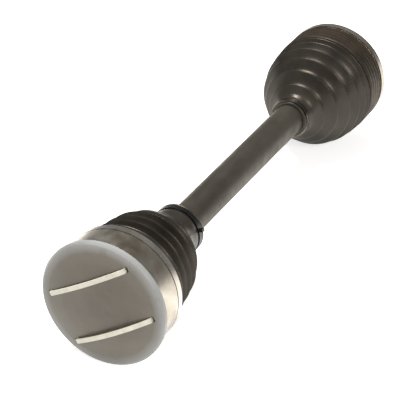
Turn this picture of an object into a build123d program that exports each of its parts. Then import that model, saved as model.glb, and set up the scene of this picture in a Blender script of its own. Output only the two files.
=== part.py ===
"""CV axle: a drive shaft with a plunging, articulating ball joint at each end.

The shaft lies along X, inboard end at -X, +Z up. The origin is on the shaft's axis, midway
between the two joint centres. Each joint is drawn once in a local frame, where x runs outward
along the axis from the joint's centre, and is placed at either end.
"""
from math import cos, radians, sin, sqrt
import os

from build123d import *

os.makedirs("parts", exist_ok=True)

# Overall
joint_spacing = 417.0
shaft_dia = 28.0

# Joint
flange_dia = 100.0
race_front = 18.0
race_back = 14.0
race_bore_dia = 63.0
ball_dia = 17.0
ball_circle_dia = 56.0
ball_count = 6
groove_clearance = 0.6
sphere_clearance = 0.4
window_clearance = 0.3
cage_wall = 6.2
cage_half_width = 10.5
inner_race_half_width = 10.0
edge_break = 1.5

# Flange bolts
bolt_circle_dia = 86.0
bolt_hole_dia = 8.4

# Shaft ends
spline_dia = 25.8
spline_clearance = 0.1
shaft_tip = 13.6
circlip_wire = 1.6
circlip_depth = 1.3
washer_thick = 1.6
washer_dia = 34.0

# Sheet-metal boot can on the race's stepped back
can_seat = {"inboard": -8.6, "outboard": 10.0}
can_gap = 1.0
can_wall = 1.2
can_clearance = 0.2
can_neck_length = 7.0
can_neck_dia = 77.0
can_hole_dia = 9.0

# Boots
boot_wall = 2.6
boot_clearance = 0.3
boot_grip = 9.0
clamp_wall = 0.8
clamp_width = 5.0
clamp_clearance = 0.3
clamp_ear = 2.4
clamp_ear_angle = {"inboard": 165.0, "outboard": 315.0}

# Inboard transport cap and its two straps
cap_wall = 1.6
cap_skirt_wall = 2.8
cap_skirt_length = 3.0
cap_dome = 5.0
cap_clearance = 0.2
strap_width = 3.6
strap_thick = 1.2
strap_lift = 0.4
slot_clearance = 0.4
slot_room = 1.6
strap_leg = 0.5
strap_bows = (1.4, 3.0)

ball_radius = ball_dia / 2
ball_orbit = ball_circle_dia / 2
flange_radius = flange_dia / 2
groove_radius = ball_radius + groove_clearance
cage_outer = race_bore_dia / 2 - sphere_clearance
cage_inner = cage_outer - cage_wall
inner_race_radius = cage_inner - sphere_clearance
can_outer = flange_radius
seat_radius = can_outer - can_wall - can_clearance
shaft_radius = shaft_dia / 2
spline_radius = spline_dia / 2
ball_step = 360 / ball_count
ball_angles = [90 + ball_step * k for k in range(ball_count)]
bolt_angles = [angle + ball_step / 2 for angle in ball_angles]
strap_angles = [bolt_angles[5], bolt_angles[2]]

# Boot outlines: (distance behind the joint centre, outer radius) at each crest and valley
inboard_boot = [(23, 46.5), (29, 38), (34, 45), (40, 36.5), (45, 43.5), (51, 35), (56, 41.5), (63, 32), (68, 36.5), (79, 27)]
outboard_boot = [
    (19, 49.6), (23, 44), (27, 49), (33, 42), (38, 47.5), (45, 38.5), (51, 43.5), (58, 33), (63, 36), (70, 24.5), (74, 27), (80, 18.5),
]
inboard_collar = (90.0, 109.0, 20.8)
outboard_collar = (82.0, 92.0, 16.8)

ENDS = {"inboard": -1, "outboard": 1}


def ring(outline, side):
    """A solid turned about the axle from an outline of (outward x, radius) points."""
    start = side * joint_spacing / 2
    with BuildPart() as turned:
        with BuildSketch(Plane.XZ):
            with BuildLine():
                Polyline(*[(start + side * x, r) for x, r in outline], close=True)
            make_face()
        revolve(axis=Axis.X)
    return turned.part


def joint_centre(side):
    return Vector(side * joint_spacing / 2, 0, 0)


def around(side, angle, radius, outward=0.0):
    """A point at an angle from +Y toward +Z about the axle."""
    return Vector(
        side * (joint_spacing / 2 + outward),
        radius * cos(radians(angle)),
        radius * sin(radians(angle)),
    )


def outer_race(side, seat):
    outline = [
        (-race_back, race_bore_dia / 2),
        (race_front, race_bore_dia / 2),
        (race_front, flange_radius - edge_break),
        (race_front - edge_break, flange_radius),
        (seat, flange_radius),
        (seat, seat_radius),
        (-race_back, seat_radius),
    ]
    length = 2 * (race_front + race_back)
    with BuildPart() as race:
        add(ring(outline, side))
        for angle in ball_angles:
            with Locations(around(side, angle, ball_orbit)):
                Cylinder(groove_radius, length, rotation=(0, 90, 0), mode=Mode.SUBTRACT)
        for angle in bolt_angles:
            with Locations(around(side, angle, bolt_circle_dia / 2)):
                Cylinder(bolt_hole_dia / 2, length, rotation=(0, 90, 0), mode=Mode.SUBTRACT)
    return race.part


def inner_race(side):
    with BuildPart() as race:
        with Locations(joint_centre(side)):
            Sphere(inner_race_radius)
            Cylinder(inner_race_radius + 1, 2 * inner_race_half_width, rotation=(0, 90, 0), mode=Mode.INTERSECT)
            bore = spline_radius + spline_clearance
            Cylinder(bore, 4 * inner_race_half_width, rotation=(0, 90, 0), mode=Mode.SUBTRACT)
            for angle in ball_angles[: ball_count // 2]:
                Torus(ball_orbit, groove_radius, rotation=(angle, 0, 0), mode=Mode.SUBTRACT)
    return race.part


def cage(side):
    with BuildPart() as shell:
        with Locations(joint_centre(side)):
            Sphere(cage_outer)
            Cylinder(cage_outer + 1, 2 * cage_half_width, rotation=(0, 90, 0), mode=Mode.INTERSECT)
            Sphere(cage_inner, mode=Mode.SUBTRACT)
        for angle in ball_angles:
            with Locations(around(side, angle, ball_orbit)):
                Cylinder(
                    ball_radius + window_clearance,
                    3 * cage_wall,
                    rotation=(angle - 90, 0, 0),
                    mode=Mode.SUBTRACT,
                )
    return shell.part


def ball(side, angle):
    with BuildPart() as sphere:
        with Locations(around(side, angle, ball_orbit)):
            Sphere(ball_radius)
    return sphere.part


def circlip(side):
    """A round wire ring in the shaft's end groove, held open by the inner race's face."""
    inside = spline_radius - circlip_depth + spline_clearance
    back = inner_race_half_width + spline_clearance
    front = back + circlip_wire
    return ring([(back, inside), (front, inside), (front, spline_radius + 1.6), (back, spline_radius + 1.6)], side)


def washer(side):
    """A dished spring washer between the shaft's shoulder and the inner race."""
    bore = spline_radius + spline_clearance
    near = -inner_race_half_width - spline_clearance
    return ring(
        [
            (near - 0.4, bore),
            (near, washer_dia / 2),
            (near - washer_thick + 0.4, washer_dia / 2),
            (near - washer_thick, bore),
        ],
        side,
    )


def boot_can(side, seat):
    """A drawn sheet cover: a skirt over the race's step, a flat back and a neck for the boot."""
    back = -race_back - can_clearance
    neck = can_neck_dia / 2
    outline = [
        (seat - can_gap, seat_radius + can_clearance),
        (seat - can_gap, can_outer),
        (back - can_wall, can_outer),
        (back - can_wall, neck),
        (back - can_neck_length, neck),
        (back - can_neck_length, neck - can_wall),
        (back, neck - can_wall),
        (back, seat_radius + can_clearance),
    ]
    with BuildPart() as can:
        add(ring(outline, side))
        for angle in bolt_angles:
            with Locations(around(side, angle, bolt_circle_dia / 2, back)):
                Cylinder(can_hole_dia / 2, 4 * can_wall, rotation=(0, 90, 0), mode=Mode.SUBTRACT)
    return can.part


def boot(side, folds, collar):
    """A bellows of even wall, from the can's neck down to a collar around the shaft."""
    seat = can_neck_dia / 2 + boot_clearance
    big_end = -race_back - can_clearance - can_wall - boot_clearance
    collar_start, collar_end, collar_radius = collar
    shaft_bore = shaft_radius + boot_clearance
    outer = [(big_end, seat + boot_wall)] + [(-x, r) for x, r in folds]
    inner = [(big_end, seat)] + [(-x, r - boot_wall) for x, r in folds]
    outer += [(-collar_start, collar_radius), (-collar_end, collar_radius)]
    inner += [(-collar_start, collar_radius - boot_wall), (-collar_end + boot_grip, shaft_bore)]
    inner += [(-collar_end, shaft_bore)]
    return ring(outer + inner[::-1], side)


def boot_clamp(side, collar, ear_angle):
    inside = collar[2] + clamp_clearance
    end = -collar[1] + 2
    outline = [
        (end, inside),
        (end + clamp_width, inside),
        (end + clamp_width, inside + clamp_wall),
        (end, inside + clamp_wall),
    ]
    with BuildPart() as band:
        add(ring(outline, side))
        ear_place = around(side, ear_angle, inside + clamp_wall + clamp_ear / 2, end + clamp_width / 2)
        with Locations(ear_place):
            Box(clamp_width * 0.7, clamp_ear + clamp_wall, clamp_ear, rotation=(ear_angle, 0, 0))
    return band.part


def dome_height(radius):
    """Height of the cap's dome, a piece of a sphere, above its plane at a radius."""
    sphere = (flange_radius**2 + cap_dome**2) / (2 * cap_dome)
    return sqrt(sphere**2 - radius**2) - sphere + cap_dome


def transport_cap(side):
    """A thin domed plastic cap with a rounded skirt and four strap slots over bolt holes."""
    skirt = flange_radius + cap_clearance
    rim = skirt + cap_skirt_wall
    face = race_front + cap_clearance
    start = side * joint_spacing / 2

    def at(x, r):
        return (start + side * x, r)

    top = face + cap_wall
    steps = [skirt * share for share in (0.2, 0.45, 0.65, 0.82)] + [skirt - 3]
    outside = [at(top + dome_height(steps[0]), 0)] + [at(top + dome_height(r), r) for r in steps]
    inside = [at(face + dome_height(steps[0]), 0)] + [at(face + dome_height(r), r) for r in steps]
    with BuildPart() as cap:
        with BuildSketch(Plane.XZ):
            with BuildLine():
                Polyline(
                    *outside,
                    at(top, rim - 1.6),
                    at(top - 1.6, rim),
                    at(face - cap_skirt_length, rim),
                    at(face - cap_skirt_length, skirt),
                    at(face, skirt),
                    *reversed(inside),
                    close=True,
                )
            make_face()
        revolve(axis=Axis.X)
        for middle_angle in strap_angles:
            for spread in (-ball_step, ball_step):
                with Locations(around(side, middle_angle + spread, bolt_circle_dia / 2, face)):
                    Box(
                        8 * cap_wall,
                        strap_width + 2 * slot_clearance,
                        strap_thick + 2 * slot_room,
                        rotation=(middle_angle, 0, 0),
                        mode=Mode.SUBTRACT,
                    )
    return cap.part


def strap(side, middle_angle, bow):
    """A strap over the dome, from one slot to the slot two bolt holes further round."""
    half_chord = bolt_circle_dia / 2 * cos(radians(30))
    offset = bolt_circle_dia / 2 * sin(radians(30))
    face = race_front + cap_clearance
    rise = face + cap_wall + dome_height(offset) + strap_lift + bow
    low = face + cap_wall + dome_height(bolt_circle_dia / 2) + strap_lift + 0.6
    leg = race_front + strap_leg
    normal = Vector(0, cos(radians(middle_angle)), sin(radians(middle_angle)))
    centre = joint_centre(side) + normal * offset
    plane = Plane(origin=centre, x_dir=(side, 0, 0), z_dir=normal)
    with BuildPart() as band:
        with BuildSketch(plane.offset(-strap_width / 2)):
            with BuildLine():
                ThreePointArc((low + strap_thick, -half_chord), (rise + strap_thick, 0), (low + strap_thick, half_chord))
                Polyline((low + strap_thick, half_chord), (leg, half_chord), (leg, half_chord - strap_thick),
                         (low, half_chord - strap_thick))
                ThreePointArc((low, half_chord - strap_thick), (rise, 0), (low, strap_thick - half_chord))
                Polyline((low, strap_thick - half_chord), (leg, strap_thick - half_chord), (leg, -half_chord),
                         (low + strap_thick, -half_chord))
            make_face()
        extrude(amount=strap_width)
    return band.part


def drive_shaft():
    """The bar between the joints, stepped down at each end and grooved for its circlip."""
    shoulder = inner_race_half_width + spline_clearance + washer_thick
    groove_back = inner_race_half_width
    groove_front = groove_back + circlip_wire + 2 * spline_clearance
    groove_floor = spline_radius - circlip_depth
    half = joint_spacing / 2
    upper = [
        (half - shoulder - 3, shaft_radius),
        (half - shoulder, spline_radius + 0.5),
        (half - shoulder, spline_radius),
        (half + groove_back, spline_radius),
        (half + groove_back, groove_floor),
        (half + groove_front, groove_floor),
        (half + groove_front, spline_radius),
        (half + shaft_tip - 1, spline_radius),
        (half + shaft_tip, spline_radius - 1),
    ]
    points = [(-x, r) for x, r in reversed(upper)] + upper
    with BuildPart() as bar:
        with BuildSketch(Plane.XZ):
            with BuildLine():
                Polyline((-half - shaft_tip, 0), *points, (half + shaft_tip, 0), close=True)
            make_face()
        revolve(axis=Axis.X)
    return bar.part


def save(part, node):
    part.label = node
    export_step(part, f"parts/{node}.step")


save(drive_shaft(), "drive_shaft")
for end, side in ENDS.items():
    folds = inboard_boot if end == "inboard" else outboard_boot
    collar = inboard_collar if end == "inboard" else outboard_collar
    save(outer_race(side, can_seat[end]), f"{end}_outer_race")
    save(inner_race(side), f"{end}_inner_race")
    save(cage(side), f"{end}_cage")
    for number, angle in enumerate(ball_angles, start=1):
        save(ball(side, angle), f"{end}_ball_{number}")
    save(circlip(side), f"{end}_circlip")
    save(washer(side), f"{end}_washer")
    save(boot_can(side, can_seat[end]), f"{end}_boot_can")
    save(boot(side, folds, collar), f"{end}_boot")
    save(boot_clamp(side, collar, clamp_ear_angle[end]), f"{end}_boot_clamp")
save(transport_cap(ENDS["inboard"]), "transport_cap")
for number, (middle_angle, bow) in enumerate(zip(strap_angles, strap_bows), start=1):
    save(strap(ENDS["inboard"], middle_angle, bow), f"transport_strap_{number}")
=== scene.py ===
"""CV axle: finishes, modelled bellows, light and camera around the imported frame."""

from math import cos, pi, radians, sin

import bmesh
import bpy
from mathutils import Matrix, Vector


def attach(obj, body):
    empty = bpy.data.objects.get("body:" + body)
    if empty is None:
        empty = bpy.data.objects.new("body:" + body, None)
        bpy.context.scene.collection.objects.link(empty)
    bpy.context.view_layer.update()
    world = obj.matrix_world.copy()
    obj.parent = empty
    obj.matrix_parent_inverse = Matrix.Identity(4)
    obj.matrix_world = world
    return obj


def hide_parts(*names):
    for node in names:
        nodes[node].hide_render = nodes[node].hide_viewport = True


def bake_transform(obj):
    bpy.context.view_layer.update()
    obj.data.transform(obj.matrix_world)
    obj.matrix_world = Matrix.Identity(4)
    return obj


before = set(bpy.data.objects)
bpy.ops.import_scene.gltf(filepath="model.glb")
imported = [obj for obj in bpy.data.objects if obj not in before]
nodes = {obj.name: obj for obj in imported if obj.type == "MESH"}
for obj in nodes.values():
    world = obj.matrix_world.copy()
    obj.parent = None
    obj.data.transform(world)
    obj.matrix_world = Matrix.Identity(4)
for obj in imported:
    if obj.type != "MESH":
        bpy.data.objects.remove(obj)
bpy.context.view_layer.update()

MM = 0.001
SPACING = 417.0 * MM
ENDS = {"inboard": -1, "outboard": 1}
BODIES = ["axle", "upper_ball", "cage_set", "lower_ball", "bellows", "housing"]

# Bellows outlines: (distance behind the joint centre, outer radius), from the can to the shaft
FOLDS = {
    "inboard": [
        (16.4, 41.5), (23, 46.5), (29, 38), (34, 45), (40, 36.5), (45, 43.5), (51, 35), (56, 41.5), (63, 32),
        (68, 36.5), (79, 27),
    ],
    "outboard": [
        (16.4, 41.5), (19, 49.6), (23, 44), (27, 49), (33, 42), (38, 47.5), (45, 38.5), (51, 43.5), (58, 33),
        (63, 36), (70, 24.5), (74, 27), (80, 18.5),
    ],
}
COLLARS = {
    "inboard": [
        (82, 25.3), (86, 23.6), (90, 22.4), (94, 22.0), (98, 21.9), (101, 21.3), (101.6, 20.6), (107.3, 20.6),
        (107.8, 21.9), (108.6, 21.9), (109, 21.2),
    ],
    "outboard": [(82, 16.9), (84.6, 16.8), (85, 16.5), (90.3, 16.5), (90.7, 17.2), (91.7, 17.2), (92, 16.6)],
}
WALL = 2.4
NECK_WALL = 1.6
NECK_GRIP_LENGTH = 12
SHAFT_GAP_RADIUS = 14.3
SEGMENTS = 128
SHARP_EDGE = radians(75)

# How a flank rises to its crest: the power hollows it, the gain flattens the lip
FLANK_POWER = 1.5
FLANK_GAIN = 1.08

# The outboard can's skirt: (front, back) distances, ridge count, and radii in mm
RIB_FRONT, RIB_BACK, RIB_COUNT = -8.8, 15.2, 5
RIB_VALLEY, RIB_HEIGHT = 49.3, 0.7
RIB_STEPS = (0.15, 0.3, 0.4, 0.5, 0.6, 0.7, 0.85)
CAN_NECK = [(15.4, 48.8), (15.4, 38.6), (21, 38.5), (21, 37.4), (14.3, 37.4), (14.3, 48.7)]
CAN_EDGE_RADIUS = 49.2
CAN_INNER_RADIUS = 48.7

CAP_REACH = 0.053


# ---------------------------------------------------------------- materials
def new_material(name):
    material = bpy.data.materials.new(name)
    material.use_nodes = True
    tree = material.node_tree
    shader = tree.nodes["Principled BSDF"]
    coords = tree.nodes.new("ShaderNodeTexCoord")
    return material, tree, shader, coords.outputs["Object"]


def stretched(tree, vector, scale):
    mapping = tree.nodes.new("ShaderNodeMapping")
    mapping.inputs["Scale"].default_value = scale
    tree.links.new(vector, mapping.inputs["Vector"])
    return mapping.outputs["Vector"]


def noise(tree, vector, scale, detail=4.0, rough=0.55):
    node = tree.nodes.new("ShaderNodeTexNoise")
    node.inputs["Scale"].default_value = scale
    node.inputs["Detail"].default_value = detail
    node.inputs["Roughness"].default_value = rough
    tree.links.new(vector, node.inputs["Vector"])
    return node.outputs["Fac"]


def ramp(tree, value, stops):
    node = tree.nodes.new("ShaderNodeValToRGB")
    elements = node.color_ramp.elements
    while len(elements) < len(stops):
        elements.new(0.5)
    for element, (place, colour) in zip(elements, stops):
        element.position = place
        element.color = (*colour, 1)
    tree.links.new(value, node.inputs["Fac"])
    return node.outputs["Color"]


def span(tree, value, low, high, source=(0.3, 0.7)):
    node = tree.nodes.new("ShaderNodeMapRange")
    node.inputs["From Min"].default_value, node.inputs["From Max"].default_value = source
    node.inputs["To Min"].default_value, node.inputs["To Max"].default_value = low, high
    tree.links.new(value, node.inputs["Value"])
    return node.outputs["Result"]


def multiply(tree, a, b, factor=1.0):
    node = tree.nodes.new("ShaderNodeMix")
    node.data_type = "RGBA"
    node.blend_type = "MULTIPLY"
    node.inputs["Factor"].default_value = factor
    tree.links.new(a, node.inputs["A"])
    tree.links.new(b, node.inputs["B"])
    return node.outputs["Result"]


def bump(tree, shader, height, strength, distance):
    node = tree.nodes.new("ShaderNodeBump")
    node.inputs["Strength"].default_value = strength
    node.inputs["Distance"].default_value = distance
    tree.links.new(height, node.inputs["Height"])
    tree.links.new(node.outputs["Normal"], shader.inputs["Normal"])


def metal(name, dark, light, rough=(0.25, 0.42), stretch=(1, 1, 1), grain=900):
    """Turned or ground steel: grain drawn round the axis, cloudy tarnish, uneven gloss."""
    material, tree, shader, at = new_material(name)
    shader.inputs["Metallic"].default_value = 1.0
    tarnish = noise(tree, at, 38, 5)
    colour = ramp(tree, tarnish, [(0.32, dark), (0.68, light)])
    lines = noise(tree, stretched(tree, at, stretch), grain, 3)
    fine = ramp(tree, lines, [(0.35, (0.86, 0.85, 0.83)), (0.65, (1, 1, 1))])
    tree.links.new(multiply(tree, colour, fine), shader.inputs["Base Color"])
    tree.links.new(span(tree, noise(tree, at, 120, 4), *rough), shader.inputs["Roughness"])
    bump(tree, shader, lines, 0.25, 0.00004)
    return material


def rubber(name):
    """Black moulded rubber with a satin skin, dusty in places."""
    material, tree, shader, at = new_material(name)
    dust = noise(tree, at, 26, 6)
    colour = ramp(tree, dust, [(0.38, (0.011, 0.0100, 0.0085)), (0.72, (0.034, 0.031, 0.026))])
    tree.links.new(colour, shader.inputs["Base Color"])
    tree.links.new(span(tree, noise(tree, at, 60, 4), 0.26, 0.42), shader.inputs["Roughness"])
    shader.inputs["Specular Tint"].default_value = (1.0, 0.90, 0.78, 1)
    bump(tree, shader, noise(tree, at, 1500, 3), 0.18, 0.00006)
    return material


def paint(name, dark, light):
    """Satin dark paint over a drawn bar: faint orange peel and scuffs."""
    material, tree, shader, at = new_material(name)
    cloud = noise(tree, stretched(tree, at, (0.4, 1, 1)), 42, 5)
    colour = ramp(tree, cloud, [(0.35, dark), (0.7, light)])
    tree.links.new(colour, shader.inputs["Base Color"])
    tree.links.new(span(tree, noise(tree, at, 90, 5), 0.38, 0.55), shader.inputs["Roughness"])
    shader.inputs["Metallic"].default_value = 0.35
    shader.inputs["Specular Tint"].default_value = (1.0, 0.93, 0.84, 1)
    bump(tree, shader, noise(tree, at, 700, 3), 0.2, 0.00005)
    return material


def milky(name):
    """Thin milky plastic: the dark joint shows through the middle, the rim turns bluish white."""
    material, tree, shader, at = new_material(name)
    flat = stretched(tree, at, (0, 1, 1))
    length = tree.nodes.new("ShaderNodeVectorMath")
    length.operation = "LENGTH"
    tree.links.new(flat, length.inputs[0])
    reach = span(tree, length.outputs["Value"], 0.0, 1.0, (0.0, CAP_REACH))
    colour = ramp(
        tree,
        reach,
        [
            (0.0, (0.100, 0.085, 0.063)),
            (0.60, (0.118, 0.102, 0.078)),
            (0.84, (0.150, 0.136, 0.112)),
            (0.93, (0.27, 0.27, 0.265)),
            (1.0, (0.36, 0.375, 0.39)),
        ],
    )
    cloud = ramp(tree, noise(tree, at, 24, 4), [(0.35, (0.80, 0.79, 0.78)), (0.65, (1.0, 1.0, 1.0))])
    smudge = ramp(tree, noise(tree, at, 75, 6, 0.7), [(0.60, (1, 1, 1)), (0.78, (0.66, 0.63, 0.60))])
    mixed = multiply(tree, multiply(tree, colour, cloud), smudge)
    tree.links.new(mixed, shader.inputs["Base Color"])
    tree.links.new(span(tree, noise(tree, at, 70, 4), 0.30, 0.46), shader.inputs["Roughness"])
    shader.inputs["Coat Weight"].default_value = 0.15
    shader.inputs["Coat Roughness"].default_value = 0.35
    bump(tree, shader, noise(tree, at, 30, 2), 0.3, 0.0006)
    return material


def strap_plastic(name):
    material, tree, shader, at = new_material(name)
    colour = ramp(tree, noise(tree, at, 160, 4), [(0.3, (0.66, 0.64, 0.55)), (0.7, (0.80, 0.78, 0.70))])
    tree.links.new(colour, shader.inputs["Base Color"])
    tree.links.new(span(tree, noise(tree, at, 240, 3), 0.38, 0.5), shader.inputs["Roughness"])
    bump(tree, shader, noise(tree, at, 1200, 2), 0.2, 0.00005)
    return material


ROUND = (6, 1, 1)
MATERIALS = {
    "outer_race": metal("race_steel", (0.36, 0.31, 0.25), (0.66, 0.62, 0.55), (0.24, 0.38), ROUND),
    "inner_race": metal("ground_steel", (0.30, 0.29, 0.28), (0.52, 0.51, 0.50), (0.2, 0.35), ROUND),
    "cage": metal("cage_steel", (0.16, 0.155, 0.15), (0.32, 0.31, 0.30), (0.3, 0.45), ROUND),
    "ball": metal("ball_steel", (0.62, 0.62, 0.63), (0.78, 0.78, 0.79), (0.06, 0.14)),
    "circlip": metal("spring_steel", (0.12, 0.12, 0.13), (0.26, 0.26, 0.27), (0.3, 0.4)),
    "washer": metal("washer_steel", (0.30, 0.30, 0.31), (0.46, 0.46, 0.46), (0.25, 0.4)),
    "boot_can": metal("sheet_steel", (0.50, 0.47, 0.42), (0.78, 0.75, 0.70), (0.2, 0.34), ROUND),
    "boot_clamp": metal("clamp_steel", (0.05, 0.05, 0.05), (0.10, 0.10, 0.10), (0.3, 0.42), ROUND),
    "bright_clamp": metal("bright_clamp_steel", (0.16, 0.15, 0.13), (0.30, 0.28, 0.25), (0.22, 0.34), ROUND),
    "shaft": paint("shaft_paint", (0.048, 0.043, 0.035), (0.085, 0.078, 0.066)),
    "dark_can": paint("dark_can_paint", (0.020, 0.017, 0.013), (0.055, 0.040, 0.028)),
    "cap": milky("cap_plastic"),
    "strap": strap_plastic("strap_plastic"),
    "boot": rubber("boot_rubber"),
}


def finish_of(node):
    if node == "drive_shaft":
        return MATERIALS["shaft"]
    if node == "transport_cap":
        return MATERIALS["cap"]
    if node.startswith("transport_strap"):
        return MATERIALS["strap"]
    if node == "outboard_boot_clamp":
        return MATERIALS["bright_clamp"]
    kind = node.split("_", 1)[1]
    return MATERIALS["ball" if kind.startswith("ball") else kind]


for name, thing in nodes.items():
    thing.data.materials.clear()
    thing.data.materials.append(finish_of(name))


# ---------------------------------------------------------------- bellows
def rubber_radius(x, folds):
    """Outer radius at x: hollow flanks rising to a narrow rounded lip at each crest."""
    for (x0, r0), (x1, r1) in zip(folds, folds[1:]):
        if x0 <= x <= x1:
            t = (x - x0) / (x1 - x0)
            low, high = min(r0, r1), max(r0, r1)
            rise = t if r1 > r0 else 1 - t
            return min(low + (high - low) * rise**FLANK_POWER * FLANK_GAIN, high)
    return folds[-1][1]


def fold_points(folds, start, end, count=24):
    places = [start + (end - start) * k / count for k in range(count + 1)]
    return [(x, rubber_radius(x, folds)) for x in places]


def turned_mesh(name, loop, side):
    """A closed ring turned about the axle from a closed loop of (distance, radius) in mm."""
    mesh = bpy.data.meshes.new(name)
    shape = bmesh.new()
    rows = []
    for k in range(SEGMENTS):
        angle = 2 * pi * k / SEGMENTS
        row = []
        for x, r in loop:
            place = (side * (SPACING / 2 - x * MM), r * MM * cos(angle), r * MM * sin(angle))
            row.append(shape.verts.new(place))
        rows.append(row)
    count = len(loop)
    for k in range(SEGMENTS):
        here, there = rows[k], rows[(k + 1) % SEGMENTS]
        for i in range(count):
            j = (i + 1) % count
            shape.faces.new((here[i], here[j], there[j], there[i]))
    bmesh.ops.recalc_face_normals(shape, faces=shape.faces)
    for face in shape.faces:
        face.smooth = True
    for edge in shape.edges:
        if len(edge.link_faces) == 2 and edge.calc_face_angle(0) > SHARP_EDGE:
            edge.smooth = False
    shape.to_mesh(mesh)
    shape.free()
    thing = bpy.data.objects.new(name, mesh)
    bpy.context.scene.collection.objects.link(thing)
    mesh.materials.append(MATERIALS["boot"])
    return thing


def band_loop(outer):
    inner = [(x, max(r - WALL, SHAFT_GAP_RADIUS)) for x, r in outer]
    return outer + inner[::-1]


def place(side, x):
    return (side * (SPACING / 2 - x * MM), 0, 0)


def make_boot(end, side):
    """The bellows in bands from valley to valley: up to five stay where they are built, any further band and
    the neck ride on the axle.
    """
    folds, collar = FOLDS[end], COLLARS[end]
    valleys = [folds[0][0]] + [x for x, r in folds[2:-1:2]] + [folds[-1][0]]
    body = [name if name == "axle" else f"{end}_{name}" for name in BODIES]
    pairs = list(zip(body, body[1:]))[::-1]
    for number, (near, far) in enumerate(zip(valleys, valleys[1:])):
        band = turned_mesh(f"{end}_bellows_{number + 1}", band_loop(fold_points(folds, near, far)), side)
        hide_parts(f"{end}_boot")
        if number < len(pairs):
            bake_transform(band)
        else:
            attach(band, "axle")
    tip = collar[-1][0]
    loop = [folds[-1]] + collar + [(tip, SHAFT_GAP_RADIUS), (tip - NECK_GRIP_LENGTH, SHAFT_GAP_RADIUS)]
    loop += [(x, r - NECK_WALL) for x, r in (collar[0], folds[-1])]
    neck = turned_mesh(f"{end}_bellows_neck", loop, side)
    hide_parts(f"{end}_boot")
    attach(neck, "axle")


def make_ribbed_can():
    """The outboard can's dark skirt over the race, with fine ridges pressed round it."""
    end, side = "outboard", ENDS["outboard"]
    pitch = (RIB_BACK - RIB_FRONT) / RIB_COUNT
    loop = [(RIB_FRONT, CAN_EDGE_RADIUS)]
    for rib in range(RIB_COUNT):
        start = RIB_FRONT + rib * pitch
        loop += [(start + pitch * t, RIB_VALLEY + RIB_HEIGHT * sin(pi * t) ** 2) for t in RIB_STEPS]
    loop += [(RIB_BACK, CAN_EDGE_RADIUS)] + CAN_NECK + [(RIB_FRONT, CAN_INNER_RADIUS)]
    can = turned_mesh("outboard_can_ribbed", loop, side)
    can.data.materials.clear()
    can.data.materials.append(MATERIALS["dark_can"])
    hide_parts("outboard_boot_can")
    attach(can, f"{end}_housing")


for end, side in ENDS.items():
    make_boot(end, side)
make_ribbed_can()


# ---------------------------------------------------------------- floor, light, camera
FLOOR_HEIGHT = -53.0 * MM
VIEW_ELEVATION = radians(29.4)
VIEW_HEADING = radians(26.2)
VIEW_TARGET = Vector((-45.6, 0.0, -1.4)) * MM
VIEW_DISTANCE = 1.517
LENS = 157.0
SENSOR_WIDTH = 36

FLOOR_SIZE = 12
FLOOR_SINK = 0.0002
FLOOR_GLOW = 0.72
WORLD_LEVEL = 0.24


def pale_floor():
    material, tree, shader, _ = new_material("floor_paper")
    shader.inputs["Base Color"].default_value = (0.92, 0.92, 0.92, 1)
    shader.inputs["Roughness"].default_value = 0.9
    light_path = tree.nodes.new("ShaderNodeLightPath")
    add = tree.nodes.new("ShaderNodeMath")
    add.operation = "MAXIMUM"
    tree.links.new(light_path.outputs["Is Camera Ray"], add.inputs[0])
    tree.links.new(light_path.outputs["Is Glossy Ray"], add.inputs[1])
    glow = tree.nodes.new("ShaderNodeMath")
    glow.operation = "MULTIPLY"
    glow.inputs[1].default_value = FLOOR_GLOW
    tree.links.new(add.outputs[0], glow.inputs[0])
    shader.inputs["Emission Color"].default_value = (1, 1, 1, 1)
    tree.links.new(glow.outputs[0], shader.inputs["Emission Strength"])
    bpy.ops.mesh.primitive_plane_add(size=FLOOR_SIZE, location=(0, 0, FLOOR_HEIGHT - FLOOR_SINK))
    floor = bpy.context.object
    floor.name = "floor"
    floor.data.materials.append(material)


def white_world():
    world = bpy.data.worlds.new("studio")
    bpy.context.scene.world = world
    world.use_nodes = True
    tree = world.node_tree
    background = tree.nodes["Background"]
    light_path = tree.nodes.new("ShaderNodeLightPath")
    strength = tree.nodes.new("ShaderNodeMapRange")
    tree.links.new(light_path.outputs["Is Camera Ray"], strength.inputs["Value"])
    strength.inputs["To Min"].default_value = WORLD_LEVEL
    strength.inputs["To Max"].default_value = 1.0
    background.inputs["Color"].default_value = (1, 1, 1, 1)
    tree.links.new(strength.outputs["Result"], background.inputs["Strength"])


def soft_light(name, place, target, size, power, colour=(1, 1, 1)):
    lamp = bpy.data.lights.new(name, "AREA")
    lamp.size = size
    lamp.energy = power
    lamp.color = colour
    thing = bpy.data.objects.new(name, lamp)
    thing.location = place
    thing.rotation_euler = (Vector(target) - Vector(place)).to_track_quat("-Z", "Y").to_euler()
    bpy.context.scene.collection.objects.link(thing)


def photo_camera():
    data = bpy.data.cameras.new("camera")
    data.sensor_width = SENSOR_WIDTH
    data.lens = LENS
    back = Vector(
        (
            -cos(VIEW_ELEVATION) * cos(VIEW_HEADING),
            -cos(VIEW_ELEVATION) * sin(VIEW_HEADING),
            sin(VIEW_ELEVATION),
        )
    )
    camera = bpy.data.objects.new("camera", data)
    camera.location = VIEW_TARGET + back * VIEW_DISTANCE
    camera.rotation_euler = back.to_track_quat("Z", "Y").to_euler()
    bpy.context.scene.collection.objects.link(camera)
    bpy.context.scene.camera = camera


pale_floor()
white_world()
soft_light("key", (-0.2, 0.35, 1.5), (0, 0, 0), 0.5, 29, (1.0, 0.96, 0.89))
soft_light("side", (-0.9, -1.1, 0.9), (-0.1, 0, 0), 0.4, 9, (1.0, 0.95, 0.87))
photo_camera()
bpy.context.scene.view_settings.view_transform = "Standard"
